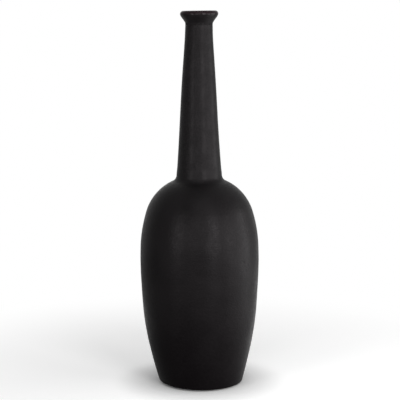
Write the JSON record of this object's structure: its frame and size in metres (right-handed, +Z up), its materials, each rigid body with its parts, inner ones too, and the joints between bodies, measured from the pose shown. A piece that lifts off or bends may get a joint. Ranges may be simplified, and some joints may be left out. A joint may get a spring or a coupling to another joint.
{
  "type": "bottle vase",
  "caption": "Tall bottle vase in matte black stoneware: ovoid body, long tapered neck, flared round lip, luted coil joints and felt pads; holds flower stems and water.",
  "frame": {"origin": "centre of the pot's footprint, on the plane that its felt pads stand on", "axes": "+Z up along the axis of the pot, from the foot to the mouth; X and Y are equal, with the pads on their diagonals"},
  "size_m": [0.159, 0.159, 0.5],
  "materials": {
    "black_glaze": "matte black glaze with a fine stipple, breaking brown on the rim",
    "bare_clay": "unglazed dark stoneware",
    "felt": "pressed dark grey felt"
  },
  "bodies": {
    "root": {"lower_body": "black_glaze", "upper_body": "black_glaze", "belly_seam_coil": "bare_clay", "neck": "black_glaze", "neck_root_coil": "black_glaze", "mouth_collar": "black_glaze", "foot_pad_1": "felt", "foot_pad_2": "felt", "foot_pad_3": "felt", "foot_pad_4": "felt"}
  },
  "joints": []
}
